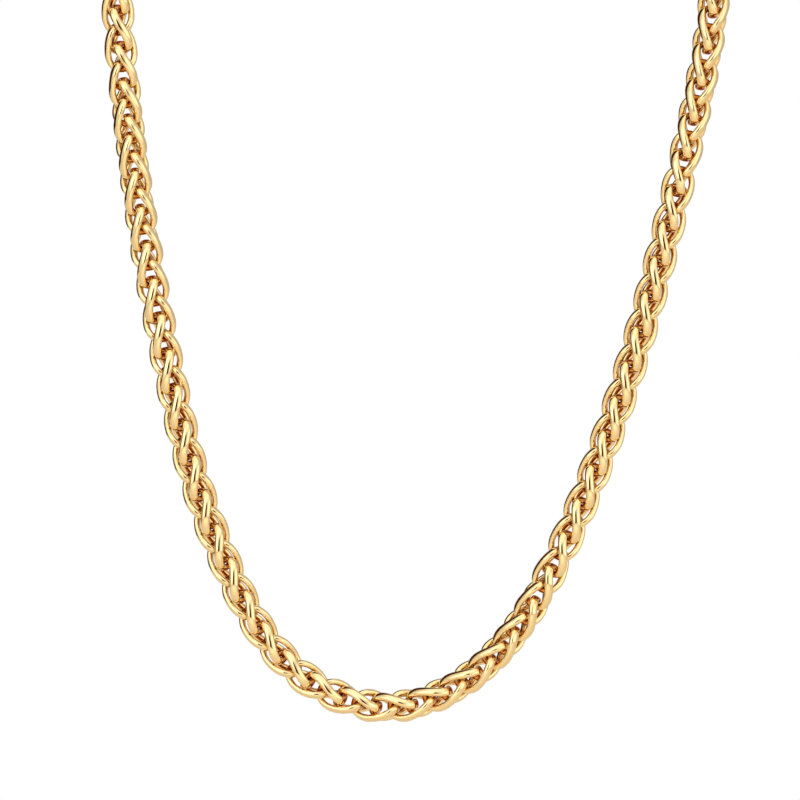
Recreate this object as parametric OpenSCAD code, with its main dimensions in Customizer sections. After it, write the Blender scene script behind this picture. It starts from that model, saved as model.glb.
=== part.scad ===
// Wheat chain necklace: one closed loop of twisted oval links, each threaded through
// the two before it, closed at the top by a plain barrel clasp. Sizes in millimetres.
// It hangs in the XZ plane, seen from -Y, with the origin under the middle of the clasp.

/* [Loop] */
// Length of the whole loop, clasp included
loop_length = 457; // [400:0.2:520]

/* [Link] */
// Width of the flat wire, seen on the face of the chain
wire_w = 1.54; // [1.4:0.02:2]
// Thickness of the flat wire, seen at the edges of the chain
wire_t = 1.12; // [0.7:0.02:1.3]
// Free space between the wires that bear on each other
play = 0.12; // [0.1:0.01:0.3]
// Open length along the chain between one pair of crossing wires and the next
spread = 0.67; // [0.6:0.01:1.5]
// Room left inside a link beside the two wires that pass through it
side_play = 0.24; // [0.1:0.01:0.6]
// Turn of each end of a link away from its middle, in degrees
link_twist = 45; // [38:1:50]
// Fullness of the oval: 1 is a true ellipse, less is squarer
link_fullness = 0.76; // [0.6:0.02:0.9]

/* [Clasp] */
// Thickness of the barrel
barrel_d = 5; // [4:0.1:6.5]
// Length of the barrel without its eyes
barrel_len = 8.8; // [6:0.1:16]
// Thickness of the ring of an eye
eye_wire = 1.1; // [0.8:0.05:1.3]
// How much wider than the wire of a link the hole of an eye is
eye_room = 0.9; // [0.7:0.02:1.6]
// Depth of the groove round the middle of the barrel
groove_depth = 0.25; // [0.1:0.05:0.5]

/* [Hidden] */
$fn = 48;
gold = [0.86, 0.66, 0.3];
link_sides = 10;

// Points along the middle of the chain as it hangs, from the top down the left side
route = [
    [0, 0], [-18.5, -3.5], [-35, -13], [-46.5, -28], [-52, -46], [-51.5, -65], [-49.5, -84],
    [-46.7, -103], [-43.1, -121.5], [-38.8, -140], [-31.9, -158], [-21.7, -173.7], [-4, -180.6],
    [13, -172], [23.5, -156], [31, -139], [37.3, -120.5], [42.3, -102.5], [46.7, -84],
    [50.5, -65.5], [52, -46.5], [46.5, -28], [35, -13.5], [18.5, -3.5]];
// Side of the chain that faces the viewer: [share of the loop, turn in degrees]
roll = [[0, 78], [0.2, 78], [0.23, 50], [0.26, 34], [0.3, 22], [0.35, 0], [0.45, -9], [0.5, -36],
    [0.56, -50], [0.6, -85], [0.72, -96], [0.76, -125], [1, -135]];

// Even curve near the route points, by a cubic blend
n_route = len(route);
function pull(i) = let (n = n_route, a = route[(i + n - 1) % n], b = route[i % n],
    c = route[(i + 1) % n]) b + (2 * b - a - c) / 6;
function blend(i, u) = (pow(1 - u, 3) * pull(i + n_route - 1)
    + (3 * pow(u, 3) - 6 * pow(u, 2) + 4) * pull(i)
    + (-3 * pow(u, 3) + 3 * pow(u, 2) + 3 * u + 1) * pull(i + 1)
    + pow(u, 3) * pull(i + 2)) / 6;
steps = 20;
curve = [for (i = [0:n_route - 1], k = [0:steps - 1]) blend(i, k / steps)];
n_curve = len(curve);
raw = [for (i = 0, s = 0; i <= n_curve; s = s + norm(curve[(i + 1) % n_curve]
    - curve[i % n_curve]), i = i + 1) s];
size_k = loop_length / raw[n_curve];
hang_z = barrel_d / 2;

// Point, direction and roll at a distance along the loop
table_x = [for (i = [0:n_curve]) [raw[i] * size_k, curve[i % n_curve][0] * size_k]];
table_z = [for (i = [0:n_curve]) [raw[i] * size_k, curve[i % n_curve][1] * size_k + hang_z]];
function at(s) = [lookup(s, table_x), 0, lookup(s, table_z)];
function along(s) = let (v = at(min(s + 1, loop_length)) - at(max(s - 1, 0))) v / norm(v);
function facing(s) = lookup(s / loop_length, roll);

// Unit vector straight out from the chain, at a turn about its direction
function outward(s, turn) = let (t = along(s), a = turn - facing(s))
    [-t[2] * sin(a), -cos(a), t[0] * sin(a)];

// Clasp and chain share the loop: the links fill what the clasp leaves
pitch_wanted = 2 * (wire_t + play) + spread;
hole_r = (wire_w + eye_room) / 2;
eye_r = hole_r + eye_wire / 2;
eye_sink = 0.3 * eye_wire;
eye_span = barrel_len + 2 * (eye_r - eye_sink);
seat = sqrt(pow(hole_r - play, 2) - pow(wire_w / 2, 2)) - wire_t / 2;
eye_reach = seat + pitch_wanted + (wire_t + play) / 2;
clasp_span = eye_span + 2 * eye_reach;
link_count = floor((loop_length - clasp_span) / pitch_wanted / 2) * 2 + 1;
pitch = (loop_length - clasp_span) / (link_count - 1);

// One link: an oval ring twisted about the chain, its ends at different turns
half_len = pitch + (wire_t + play) / 2;
belly_r = wire_w + wire_t / 2 + side_play;
function ring_r(q) = belly_r * sign(sin(q)) * pow(abs(sin(q)), link_fullness);
function ring_z(q) = let (e = cos(180 / link_sides))
    -half_len * sign(cos(q)) * pow(abs(cos(q)) / e, link_fullness);
function ring_turn(q, odd) = let (a = -link_twist * ring_z(q) / half_len) odd ? a : 90 - a;
function link_mid(m) = clasp_span / 2 + m * pitch;
function ring(m) = [for (k = [0:link_sides - 1])
    let (q = 360 * (k + 0.5) / link_sides, s = link_mid(m) + ring_z(q))
    at(s) + ring_r(q) * outward(s, ring_turn(q, m % 2 == 1))];

// Section of the wire, crowned on the outside of the link: [outward, sideways]
section = [[wire_t / 2, 0], [wire_t / 6, wire_w / 2], [-wire_t / 2, wire_w / 3],
    [-wire_t / 2, -wire_w / 3], [wire_t / 6, -wire_w / 2]];
wire_sides = len(section);
function link_points(m) = let (p = ring(m), c = at(link_mid(m)), n = link_sides)
    [for (k = [0:n - 1])
        let (v = p[(k + 1) % n] - p[(k + n - 1) % n], t = v / norm(v), o = p[k] - c,
            u = o - t * (o * t), e = u / norm(u), f = cross(t, e))
        for (q = section) p[k] + q[0] * e + q[1] * f];
function link_faces(first) = [for (k = [0:link_sides - 1], j = [0:wire_sides - 1])
    let (k2 = (k + 1) % link_sides, j2 = (j + 1) % wire_sides,
        a = first + k * wire_sides + j, b = first + k * wire_sides + j2,
        c = first + k2 * wire_sides + j2, d = first + k2 * wire_sides + j)
    for (f = [[a, c, b], [a, d, c]]) f];

module links(from, to) {
    per_link = link_sides * wire_sides;
    polyhedron([for (m = [from:to]) each link_points(m)],
        [for (m = [from:to]) each link_faces((m - from) * per_link)]);
}

half = (link_count - 1) / 2;
module chain_left() { color(gold) links(0, half - 1); }
module chain_right() { color(gold) links(half, link_count - 1); }

// Barrel on its side between two eyes, each standing across the wire that it holds
edge_r = barrel_d / 6;
module barrel_outline() {
    difference() {
        intersection() {
            offset(r = edge_r)
                square([barrel_d - 2 * edge_r, barrel_len - 2 * edge_r], center = true);
            translate([0, -barrel_len]) square([barrel_d, 2 * barrel_len]);
        }
        translate([barrel_d / 2, 0]) circle(groove_depth);
    }
}
module eye(s, turn) {
    p = at(s);
    t = along(s);
    u = outward(s, turn);
    n = cross(t, u);
    multmatrix([[t[0], u[0], n[0], p[0]], [t[1], u[1], n[1], p[1]], [t[2], u[2], n[2], p[2]]])
        rotate_extrude() translate([eye_r, 0]) circle(d = eye_wire);
}
module clasp() {
    color(gold) {
        translate([0, 0, hang_z]) rotate([0, 90, 0]) rotate_extrude() barrel_outline();
        eye(eye_span / 2, -link_twist);
        eye(loop_length - eye_span / 2, link_twist);
    }
}

chain_left();
chain_right();
clasp();
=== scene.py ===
# Wheat chain necklace, gold plated: rounded flat-wire links threaded along the hanging loop,
# and the barrel clasp that closes it. Lengths in the dictionaries are in millimetres.
import math
import bpy
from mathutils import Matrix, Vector


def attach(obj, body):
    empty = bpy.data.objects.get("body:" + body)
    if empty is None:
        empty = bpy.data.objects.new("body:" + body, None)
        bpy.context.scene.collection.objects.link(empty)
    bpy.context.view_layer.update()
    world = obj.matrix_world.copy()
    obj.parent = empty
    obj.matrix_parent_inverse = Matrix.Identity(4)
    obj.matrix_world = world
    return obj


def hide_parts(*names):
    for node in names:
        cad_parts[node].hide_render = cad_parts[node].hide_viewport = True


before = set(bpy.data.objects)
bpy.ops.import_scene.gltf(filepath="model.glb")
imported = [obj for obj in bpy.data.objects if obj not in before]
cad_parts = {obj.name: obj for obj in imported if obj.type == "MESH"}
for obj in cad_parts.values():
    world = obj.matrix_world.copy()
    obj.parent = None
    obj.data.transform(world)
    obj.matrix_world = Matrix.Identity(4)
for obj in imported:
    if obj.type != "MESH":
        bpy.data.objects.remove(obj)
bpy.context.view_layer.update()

mm = 0.001
maths = "ShaderNodeMath"
vectorMaths = "ShaderNodeVectorMath"
softRange = {"interpolation_type": "SMOOTHSTEP"}    # a Map Range that starts and ends gently


def linearColour(hexCode):
    parts = [int(hexCode[i:i + 2], 16) / 255 for i in (1, 3, 5)]
    return [p / 12.92 if p <= 0.04045 else ((p + 0.055) / 1.055) ** 2.4 for p in parts] + [1]


def addNode(tree, kind, settings=None, inputs=None):
    node = tree.nodes.new(kind)
    for name, value in (settings or {}).items():
        setattr(node, name, value)
    for key, value in (inputs or {}).items():
        if isinstance(value, bpy.types.Node):
            value = value.outputs[0]
        if isinstance(value, bpy.types.NodeSocket):
            tree.links.new(value, node.inputs[key])
        else:
            node.inputs[key].default_value = value
    return node


# The loop that the chain hangs in
loop = {
    "length": 457.0,       # whole loop, clasp included
    "hangHeight": 2.5,     # middle of the clasp above the hanging point
    "steps": 20,           # straight steps that the curve takes from one point to the next
    "points": [            # along the middle of the chain, from the top down the left side
        (0, 0), (-18.5, -3.5), (-35, -13), (-46.5, -28), (-52, -46), (-51.5, -65),
        (-49.5, -84), (-46.7, -103), (-43.1, -121.5), (-38.8, -140), (-31.9, -158),
        (-21.7, -173.7), (-4, -180.6), (13, -172), (23.5, -156), (31, -139), (37.3, -120.5),
        (42.3, -102.5), (46.7, -84), (50.5, -65.5), (52, -46.5), (46.5, -28), (35, -13.5),
        (18.5, -3.5)],
    "roll": [              # share of the loop, and the side of the chain that faces the viewer
        (0, 78), (0.2, 78), (0.23, 50), (0.26, 34), (0.3, 22), (0.35, 0), (0.45, -9),
        (0.5, -36), (0.56, -50), (0.6, -85), (0.72, -96), (0.76, -125), (1, -135)],
}

# One link, and how the links follow each other
link = {
    "wireThick": 1.12,     # wire seen from the edge of the chain
    "wireWide": 1.54,      # wire seen from the face of the chain
    "wireFullness": 0.8,   # 1 is an oval wire, less is squarer
    "play": 0.12,          # free space where two wires bear on each other
    "bellyRadius": 2.34,   # middle of the chain to the middle of the wire at a link's side
    "twist": 45,           # turn of each end away from the middle, in degrees
    "fullness": 0.76,      # 1 is a true ellipse, less is squarer
    "count": 139,
    "leftCount": 69,       # links that belong to the left half
    "first": 9.836,        # middle of the first link from the top of the loop
    "ringPoints": 40,
    "wireSides": 12,
}
pitch = (loop["length"] - 2 * link["first"]) / (link["count"] - 1)
halfLength = pitch + (link["wireThick"] + link["play"]) / 2


def routePoints():
    points = [Vector(p) for p in loop["points"]]
    n = len(points)
    pull = [p + (2 * p - points[i - 1] - points[(i + 1) % n]) / 6 for i, p in enumerate(points)]
    out = []
    for i in range(n):
        a, b, c, d = (pull[(i + k) % n] for k in (-1, 0, 1, 2))
        for u in (k / loop["steps"] for k in range(loop["steps"])):
            out.append(((1 - u) ** 3 * a + (3 * u ** 3 - 6 * u * u + 4) * b
                        + (-3 * u ** 3 + 3 * u * u + 3 * u + 1) * c + u ** 3 * d) / 6)
    whole = sum((p - out[i - 1]).length for i, p in enumerate(out))
    size = loop["length"] / whole
    return [Vector((p.x * size, 0, p.y * size + loop["hangHeight"])) for p in out]


def makeRoute(name):
    curve = bpy.data.curves.new(name, "CURVE")
    curve.dimensions = "3D"
    spline = curve.splines.new("POLY")
    points = routePoints()
    spline.points.add(len(points))
    for target, p in zip(spline.points, points + points[:1]):
        target.co = (*(p * mm), 1)
    route = bpy.data.objects.new(name, curve)
    bpy.context.scene.collection.objects.link(route)
    return route


def makeFuller(tree, wave, fullness):
    # swells a wave between -1 and 1 towards its ends: its size to a power, its sign kept
    size = addNode(tree, maths, {"operation": "ABSOLUTE"}, {0: wave})
    swollen = addNode(tree, maths, {"operation": "POWER"}, {0: size, 1: fullness})
    sign = addNode(tree, maths, {"operation": "SIGN"}, {0: wave})
    return addNode(tree, maths, {"operation": "MULTIPLY"}, {0: swollen, 1: sign})


def rollChain(tree, given, distance):
    # turn of the whole chain at a distance along the loop, read off a curve between 0 and 1
    turns = [turn for _, turn in loop["roll"]]
    low, high = min(turns), max(turns)
    share = addNode(tree, maths, {"operation": "DIVIDE"}, {0: distance, 1: given["Loop Length"]})
    profile = addNode(tree, "ShaderNodeFloatCurve", None, {"Value": share})
    marks = profile.mapping.curves[0].points
    while len(marks) < len(loop["roll"]):
        marks.new(1, 1)
    for mark, (place, turn) in zip(marks, loop["roll"]):
        mark.location = (place, (turn - low) / (high - low))
        mark.handle_type = "VECTOR"
    profile.mapping.update()
    return addNode(tree, maths, {"operation": "MULTIPLY_ADD"},
                   {0: profile, 1: math.radians(high - low), 2: math.radians(low)})


def threadRings(tree, given):
    # one round ring for each link, told apart by the numbers of their points
    ring = addNode(tree, "GeometryNodeCurvePrimitiveCircle", None,
                   {"Resolution": given["Ring Points"]})
    spots = addNode(tree, "GeometryNodeMeshLine", None, {"Count": given["Links"]})
    rings = addNode(tree, "GeometryNodeInstanceOnPoints", None, {"Points": spots, "Instance": ring})
    loose = addNode(tree, "GeometryNodeRealizeInstances", None, {"Geometry": rings})
    number = addNode(tree, "GeometryNodeInputIndex")
    step = addNode(tree, "GeometryNodeSplineParameter").outputs["Index"]
    before = addNode(tree, maths, {"operation": "SUBTRACT"}, {0: number, 1: step})
    order = addNode(tree, maths, {"operation": "DIVIDE"}, {0: before, 1: given["Ring Points"]})
    which = addNode(tree, maths, {"operation": "ADD"}, {0: order, 1: given["From Link"]})
    middle = addNode(tree, maths, {"operation": "MULTIPLY_ADD"},
                     {0: which, 1: given["Pitch"], 2: given["First Link"]})

    # full oval: distance out from the chain's middle, and share of the half length along it
    part = addNode(tree, maths, {"operation": "DIVIDE"}, {0: step, 1: given["Ring Points"]})
    turn = addNode(tree, maths, {"operation": "MULTIPLY"}, {0: part, 1: 2 * math.pi})
    sine = addNode(tree, maths, {"operation": "SINE"}, {0: turn})
    cosine = addNode(tree, maths, {"operation": "COSINE"}, {0: turn})
    out = addNode(tree, maths, {"operation": "MULTIPLY"},
                  {0: makeFuller(tree, sine, given["Fullness"]), 1: given["Belly Radius"]})
    share = addNode(tree, maths, {"operation": "MULTIPLY"},
                    {0: makeFuller(tree, cosine, given["Fullness"]), 1: -1})
    distance = addNode(tree, maths, {"operation": "MULTIPLY_ADD"},
                       {0: share, 1: given["Half Length"], 2: middle})

    # the ends turn one way on every second link and the other way on the rest
    odd = addNode(tree, maths, {"operation": "MODULO"}, {0: which, 1: 2})
    twisted = addNode(tree, maths, {"operation": "MULTIPLY"}, {0: share, 1: given["Twist"]})
    otherWay = addNode(tree, maths, {"operation": "SUBTRACT"}, {0: math.radians(-90), 1: twisted})
    ends = addNode(tree, "GeometryNodeSwitch", {"input_type": "FLOAT"},
                   {"Switch": odd, "False": otherWay, "True": twisted})
    angle = addNode(tree, maths, {"operation": "ADD"},
                    {0: rollChain(tree, given, distance), 1: ends})

    # each point goes out from the loop's own line, at its angle about the line
    here = addNode(tree, "GeometryNodeSampleCurve", {"mode": "LENGTH", "use_all_curves": True},
                   {"Curves": given["Geometry"], "Length": distance})
    outward = addNode(tree, "ShaderNodeVectorRotate", None,
                      {"Vector": (0, -1, 0), "Axis": here.outputs["Tangent"], "Angle": angle})
    offset = addNode(tree, vectorMaths, {"operation": "SCALE"}, {0: outward, "Scale": out})
    spot = addNode(tree, vectorMaths, {"operation": "ADD"},
                   {0: here.outputs["Position"], 1: offset})
    placed = addNode(tree, "GeometryNodeSetPosition", None, {"Geometry": loose, "Position": spot})

    # the flat side of the wire looks away from the middle of its own link
    heart = addNode(tree, "GeometryNodeSampleCurve", {"mode": "LENGTH", "use_all_curves": True},
                    {"Curves": given["Geometry"], "Length": middle}).outputs["Position"]
    tangent = addNode(tree, "GeometryNodeInputTangent")
    away = addNode(tree, vectorMaths, {"operation": "SUBTRACT"},
                   {0: addNode(tree, "GeometryNodeInputPosition"), 1: heart})
    slant = addNode(tree, vectorMaths, {"operation": "PROJECT"}, {0: away, 1: tangent})
    square = addNode(tree, vectorMaths, {"operation": "SUBTRACT"}, {0: away, 1: slant})
    normal = addNode(tree, vectorMaths, {"operation": "NORMALIZE"}, {0: square})
    return addNode(tree, "GeometryNodeSetCurveNormal", {"mode": "FREE"},
                   {"Curve": placed, "Normal": normal})


def makeWireSection(tree, given):
    circle = addNode(tree, "GeometryNodeCurvePrimitiveCircle", None,
                     {"Resolution": given["Wire Sides"]})
    spot = addNode(tree, "ShaderNodeSeparateXYZ", None,
                   {0: addNode(tree, "GeometryNodeInputPosition")}).outputs
    flat = addNode(tree, "ShaderNodeCombineXYZ")
    for axis, size in enumerate((given["Wire Thick"], given["Wire Wide"])):
        half = addNode(tree, maths, {"operation": "MULTIPLY"}, {0: size, 1: 0.5})
        reach = addNode(tree, maths, {"operation": "MULTIPLY"},
                        {0: makeFuller(tree, spot[axis], given["Wire Fullness"]), 1: half})
        tree.links.new(reach.outputs[0], flat.inputs[axis])
    return addNode(tree, "GeometryNodeSetPosition", None, {"Geometry": circle, "Position": flat})


def markPaintedShade(tree, given, links):
    # depth of the painted shade between the links: 0 on the outside of the chain, 1 on its middle
    # line, for the material to read
    axis = addNode(tree, "GeometryNodeCurveToMesh", None, {"Curve": given["Geometry"]})
    depth = addNode(tree, "GeometryNodeProximity", {"target_element": "EDGES"},
                    {"Geometry": axis}).outputs["Distance"]
    outside = addNode(tree, maths, {"operation": "MULTIPLY_ADD"},
                      {0: given["Wire Thick"], 1: 0.5, 2: given["Belly Radius"]})
    paintedShade = addNode(tree, "ShaderNodeMapRange", None, {0: depth, 2: outside, 3: 1, 4: 0})
    return addNode(tree, "GeometryNodeStoreNamedAttribute",
                   {"data_type": "FLOAT", "domain": "POINT"},
                   {"Geometry": links, "Name": "paintedShade", "Value": paintedShade})


def makeChainTree():
    tree = bpy.data.node_groups.new("threadLinksAlongLoop", "GeometryNodeTree")
    tree.is_modifier = True
    sockets = {
        "Geometry": "Geometry", "Links": "Int", "From Link": "Int", "First Link": "Float",
        "Pitch": "Float", "Half Length": "Float", "Belly Radius": "Float",
        "Wire Thick": "Float", "Wire Wide": "Float", "Wire Fullness": "Float",
        "Twist": "Float", "Fullness": "Float", "Loop Length": "Float", "Ring Points": "Int",
        "Wire Sides": "Int", "Material": "Material"}
    for name, kind in sockets.items():
        tree.interface.new_socket(name, in_out="INPUT", socket_type="NodeSocket" + kind)
    tree.interface.new_socket("Geometry", in_out="OUTPUT", socket_type="NodeSocketGeometry")
    given = addNode(tree, "NodeGroupInput").outputs
    tube = addNode(tree, "GeometryNodeCurveToMesh", None, {
        "Curve": threadRings(tree, given), "Profile Curve": makeWireSection(tree, given)})
    smooth = addNode(tree, "GeometryNodeSetShadeSmooth", None, {"Geometry": tube})
    solid = addNode(tree, "GeometryNodeRealizeInstances", None,
                    {"Geometry": markPaintedShade(tree, given, smooth)})
    coated = addNode(tree, "GeometryNodeSetMaterial", None,
                     {"Geometry": solid, "Material": given["Material"]})
    addNode(tree, "NodeGroupOutput", None, {0: coated})
    return tree


def makeChain(name, tree, firstIndex, count, material):
    route = makeRoute(name + "Route")
    modifier = route.modifiers.new("links", "NODES")
    modifier.node_group = tree
    values = {
        "Links": count, "From Link": firstIndex, "First Link": link["first"] * mm,
        "Pitch": pitch * mm, "Half Length": halfLength * mm,
        "Belly Radius": link["bellyRadius"] * mm, "Wire Thick": link["wireThick"] * mm,
        "Wire Wide": link["wireWide"] * mm, "Wire Fullness": link["wireFullness"],
        "Twist": math.radians(link["twist"]), "Fullness": link["fullness"],
        "Loop Length": loop["length"] * mm, "Ring Points": link["ringPoints"],
        "Wire Sides": link["wireSides"], "Material": material}
    for item in tree.interface.items_tree:
        if item.item_type == "SOCKET" and item.name in values:
            modifier[item.identifier] = values[item.name]
    bpy.context.view_layer.update()
    result = route.evaluated_get(bpy.context.evaluated_depsgraph_get())
    mesh = bpy.data.meshes.new_from_object(result)
    route.modifiers.remove(modifier)
    bpy.data.objects.remove(route)
    chain = bpy.data.objects.new(name, mesh)
    bpy.context.scene.collection.objects.link(chain)
    return chain


# Gold plating on brass, mirror polished: hard clear reflections, a little cloudy where it is
# handled, and painted shade down between the links: a redder, darker gold, a little duller there
plating = {
    "colour": "#FCE2AC",         # pale yellow gold
    "roughness": 0.04,           # mirror polish
    "wear": 0.03,                # how much duller the handled patches are
    "patch": 1.6,                # size of a handled patch
    "patchEdge": (0.4, 0.7),     # level of the noise where a patch starts, and where it is full
    "paintedShade": "#C87414",         # painted shade: a redder, darker gold between the links, where they shade each other
    "recessRoughness": 0.2,
    "paintedShadeEdge": (0.3, 0.75),   # share of the way in where it starts, and where it is full
}


def makeGold(name, hasPaintedShade):
    material = bpy.data.materials.new(name)
    material.use_nodes = True
    tree = material.node_tree
    tree.nodes.clear()
    # slightly duller patches keep long highlights from looking printed
    where = addNode(tree, "ShaderNodeTexCoord").outputs["Object"]
    patches = addNode(tree, "ShaderNodeTexNoise", None,
                      {"Vector": where, "Scale": 1 / (plating["patch"] * mm)})
    start, full = plating["patchEdge"]
    dull = addNode(tree, "ShaderNodeMapRange", softRange, {
        0: patches, 1: start, 2: full, 3: plating["roughness"],
        4: plating["roughness"] + plating["wear"]})
    shader = addNode(tree, "ShaderNodeBsdfPrincipled", None, {
        "Base Color": linearColour(plating["colour"]), "Metallic": 1, "Roughness": dull})
    if hasPaintedShade:
        # painted shade: the chain's own attribute deepens the colour towards its middle line,
        # between the links
        paintedShade = addNode(tree, "ShaderNodeAttribute", {"attribute_name": "paintedShade"}).outputs["Fac"]
        start, full = plating["paintedShadeEdge"]
        shadeAmount = addNode(tree, "ShaderNodeMapRange", softRange, {0: paintedShade, 1: start, 2: full})
        colour = addNode(tree, "ShaderNodeMix", {"data_type": "RGBA"}, {
            0: shadeAmount, 6: linearColour(plating["colour"]), 7: linearColour(plating["paintedShade"])})
        rough = addNode(tree, "ShaderNodeMix", None,
                        {0: shadeAmount, 2: dull, 3: plating["recessRoughness"]})
        tree.links.new(colour.outputs[2], shader.inputs["Base Color"])
        tree.links.new(rough.outputs[0], shader.inputs["Roughness"])
    addNode(tree, "ShaderNodeOutputMaterial", None, {0: shader})
    return material


gold = makeGold("mirrorPolishedGoldPlating", True)
chainTree = makeChainTree()
left = makeChain("chainLeft", chainTree, 0, link["leftCount"], gold)
right = makeChain("chainRight", chainTree, link["leftCount"],
                  link["count"] - link["leftCount"], gold)
for piece, node in ((left, "chain_left"), (right, "chain_right")):
    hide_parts(node)
    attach(piece, "root")
print("chain threaded:", len(left.data.polygons), "and", len(right.data.polygons), "faces")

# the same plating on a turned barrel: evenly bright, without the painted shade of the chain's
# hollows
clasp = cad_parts["clasp"]
clasp.data.materials.clear()
clasp.data.materials.append(makeGold("turnedAndPolishedGoldPlating", False))
print("clasp plated:", len(clasp.data.polygons), "faces")

# White photo tent lit through its walls, with a small brown gap where the camera looks in and
# a brown band beside the backdrop, which draw the thin lines along the wires. Directions run
# from the necklace: x to the right, y from the camera at -1 to straight behind at 1, z up.
studio = {
    "tent": 0.79,             # brightness of the tent's walls
    "tint": "#FFFCF4",
    "lamps": [                # direction, half angle and added brightness of each lit patch
        ((-0.45, -0.8, 0.3), 24, 0.97),
        ((0.8, -0.6, 0.1), 25, 0.64),
        ((0.1, -0.45, 0.9), 30, 0.5)],
    "lampEdge": 0.3,          # how far a lit patch fades to each side of its half angle
    "gapWidth": 0.22,         # half width of the gap at the camera
    "gapHeight": 0.45,        # half height of it
    "gapFade": (0.5, 1.6),    # square of the way out where it starts to fade, and where it ends
    "gapDepth": (-0.6, -0.5),    # y where the gap starts to fade, and where it ends
    "bandStart": 0.05,        # y where the band starts
    "bandLean": 0.15,         # how much nearer to the camera it starts at the far left
    "startEdge": 0.12,        # how far it fades to each side of its start
    "bandEnd": 0.8,           # y where the band ends
    "endEdge": 0.1,
    "back": 0.6,              # how far the tent is lit straight behind the piece
    "leftBand": 0.0,          # how far it is lit on the left, 1 is as bright as the walls
    "rightBand": 0.7,
    "sideEdge": 0.3,          # x up to which the left and the right blend
    "shade": "#421A02",       # colour of the gap and of the band
}


def makeTent():
    world = bpy.data.worlds.new("photoTent")
    bpy.context.scene.world = world
    world.use_nodes = True
    tree = world.node_tree
    tree.nodes.clear()
    way = addNode(tree, "ShaderNodeTexCoord").outputs["Generated"]
    x, y, z = addNode(tree, "ShaderNodeSeparateXYZ", None, {0: way}).outputs
    light = studio["tent"]
    for place, spread, bright in studio["lamps"]:
        near = addNode(tree, vectorMaths, {"operation": "DOT_PRODUCT"},
                       {0: way, 1: Vector(place).normalized()}).outputs["Value"]
        outer = math.cos(math.radians(spread * (1 + studio["lampEdge"])))
        inner = math.cos(math.radians(spread * (1 - studio["lampEdge"])))
        patch = addNode(tree, "ShaderNodeMapRange", softRange,
                        {0: near, 1: outer, 2: inner, 4: bright})
        light = addNode(tree, maths, {"operation": "ADD"}, {0: light, 1: patch})

    across = addNode(tree, maths, {"operation": "DIVIDE"}, {0: x, 1: studio["gapWidth"]})
    upright = addNode(tree, maths, {"operation": "DIVIDE"}, {0: z, 1: studio["gapHeight"]})
    wide = addNode(tree, maths, {"operation": "POWER"}, {0: across, 1: 2})
    tall = addNode(tree, maths, {"operation": "POWER"}, {0: upright, 1: 2})
    oval = addNode(tree, maths, {"operation": "ADD"}, {0: wide, 1: tall})
    leaning = addNode(tree, maths, {"operation": "MULTIPLY_ADD"},
                      {0: x, 1: -studio["bandLean"], 2: y})
    start, end, side = studio["bandStart"], studio["bandEnd"], studio["sideEdge"]
    # what is read, where it fades from and to, and how far the tent is lit at both
    fades = {
        "gapEdge": (oval, studio["gapFade"], (0, 1)),
        "gapDepth": (y, studio["gapDepth"], (0, 1)),
        "sides": (x, (-side, side), (studio["leftBand"], studio["rightBand"])),
        "start": (leaning, (start - studio["startEdge"], start + studio["startEdge"]), (1, 0)),
        "end": (y, (end - studio["endEdge"], end + studio["endEdge"]), (0, studio["back"]))}
    lit = {name: addNode(tree, "ShaderNodeMapRange", softRange,
                         {0: value, 1: first, 2: last, 3: low, 4: high})
           for name, (value, (first, last), (low, high)) in fades.items()}
    gap = addNode(tree, maths, {"operation": "MAXIMUM"}, {0: lit["gapEdge"], 1: lit["gapDepth"]})
    walls = addNode(tree, maths, {"operation": "MAXIMUM"}, {0: lit["start"], 1: lit["end"]})
    band = addNode(tree, maths, {"operation": "MAXIMUM"}, {0: lit["sides"], 1: walls})
    both = addNode(tree, maths, {"operation": "MULTIPLY"}, {0: gap, 1: band})
    colour = addNode(tree, "ShaderNodeMix", {"data_type": "RGBA"}, {
        0: both, 6: linearColour(studio["shade"]), 7: linearColour(studio["tint"])}).outputs[2]
    tent = addNode(tree, "ShaderNodeBackground", None, {"Color": colour, "Strength": light})
    backdrop = addNode(tree, "ShaderNodeBackground", None, {"Color": linearColour("#FFFFFF")})
    rays = addNode(tree, "ShaderNodeLightPath").outputs["Is Camera Ray"]
    seen = addNode(tree, "ShaderNodeMixShader", None, {0: rays, 1: tent, 2: backdrop})
    addNode(tree, "ShaderNodeOutputWorld", None, {0: seen})


makeTent()
print("tent lit:", len(studio["lamps"]), "soft patches")

# Plain pale floor, well below the hanging chain and out of the front view. It is brightest
# in front, so the lower ends of the links shade off softly where they mirror it.
floor = {
    "height": -300,
    "radius": 900,
    "sides": 96,
    "colour": "#F8F0E2",
    "roughness": 0.9,          # matt paper shows no reflection
    "glow": 0.05,              # light that comes through the sheet
    "lamp": (40, -450, -20),   # the links mirror the floor that it lights, not the lamp itself
    "lampSize": 400,
    "lampWatts": 0.8,
}


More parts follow.
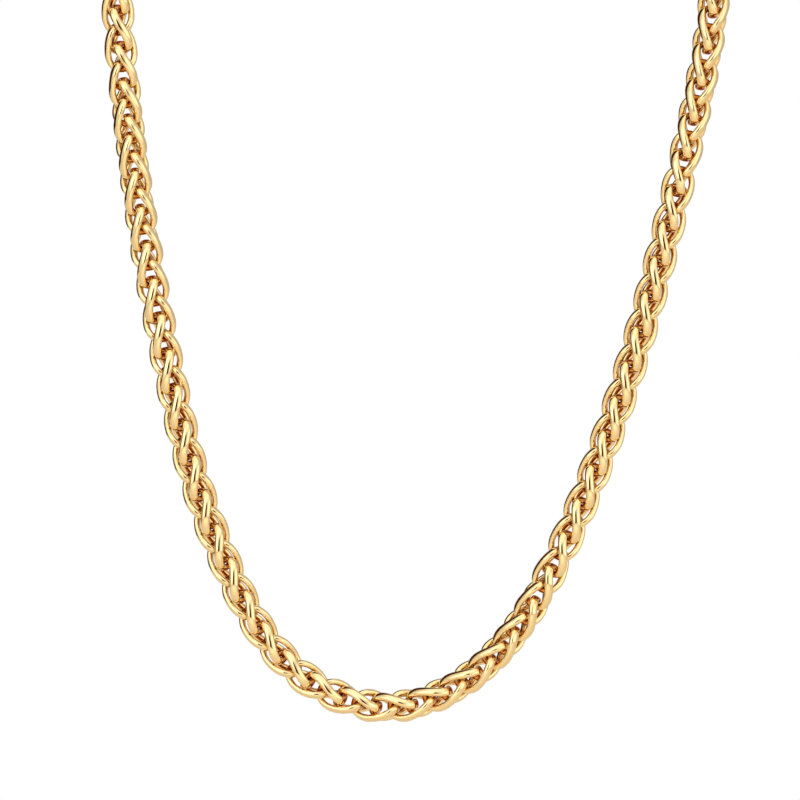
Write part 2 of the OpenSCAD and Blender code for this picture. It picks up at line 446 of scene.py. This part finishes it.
def makeFloor():
    mesh = bpy.data.meshes.new("floor")
    turns = [2 * math.pi * k / floor["sides"] for k in range(floor["sides"])]
    rim = [(floor["radius"] * mm * math.cos(a), floor["radius"] * mm * math.sin(a),
            floor["height"] * mm) for a in turns]
    mesh.from_pydata(rim, [], [list(range(floor["sides"]))])
    sheet = bpy.data.objects.new("floor", mesh)
    bpy.context.scene.collection.objects.link(sheet)
    material = bpy.data.materials.new("mattPaper")
    material.use_nodes = True
    shader = material.node_tree.nodes["Principled BSDF"]
    shader.inputs["Base Color"].default_value = linearColour(floor["colour"])
    shader.inputs["Roughness"].default_value = floor["roughness"]
    shader.inputs["Emission Color"].default_value = linearColour("#FFFFFF")
    shader.inputs["Emission Strength"].default_value = floor["glow"]
    mesh.materials.append(material)


def makeFloorLamp():
    light = bpy.data.lights.new("floorLamp", "AREA")
    light.shape = "DISK"
    light.size = floor["lampSize"] * mm
    light.energy = floor["lampWatts"]
    lamp = bpy.data.objects.new("floorLamp", light)
    lamp.location = [v * mm for v in floor["lamp"]]
    lamp.visible_glossy = False
    lamp.visible_camera = False
    bpy.context.scene.collection.objects.link(lamp)


makeFloor()
makeFloorLamp()
print("floor laid at", floor["height"], "mm")

# Camera for a square picture, level and straight in front
view = {
    "middle": (-2.94, -124.28),    # x and z in the middle of the picture
    "width": 139.2,                # what the picture shows across
    "distance": 900,
    "sensor": 36,
    "clip": (10, 20000),
}


def makeCamera():
    lens = bpy.data.cameras.new("camera")
    lens.sensor_width = view["sensor"]
    lens.lens = view["sensor"] * view["distance"] / view["width"]
    lens.clip_start, lens.clip_end = (v * mm for v in view["clip"])
    camera = bpy.data.objects.new("camera", lens)
    bpy.context.scene.collection.objects.link(camera)
    camera.location = (view["middle"][0] * mm, -view["distance"] * mm, view["middle"][1] * mm)
    camera.rotation_euler = (math.radians(90), 0, 0)
    bpy.context.scene.camera = camera


makeCamera()
bpy.context.scene.view_settings.view_transform = "Standard"
print("camera placed", view["distance"], "mm in front")
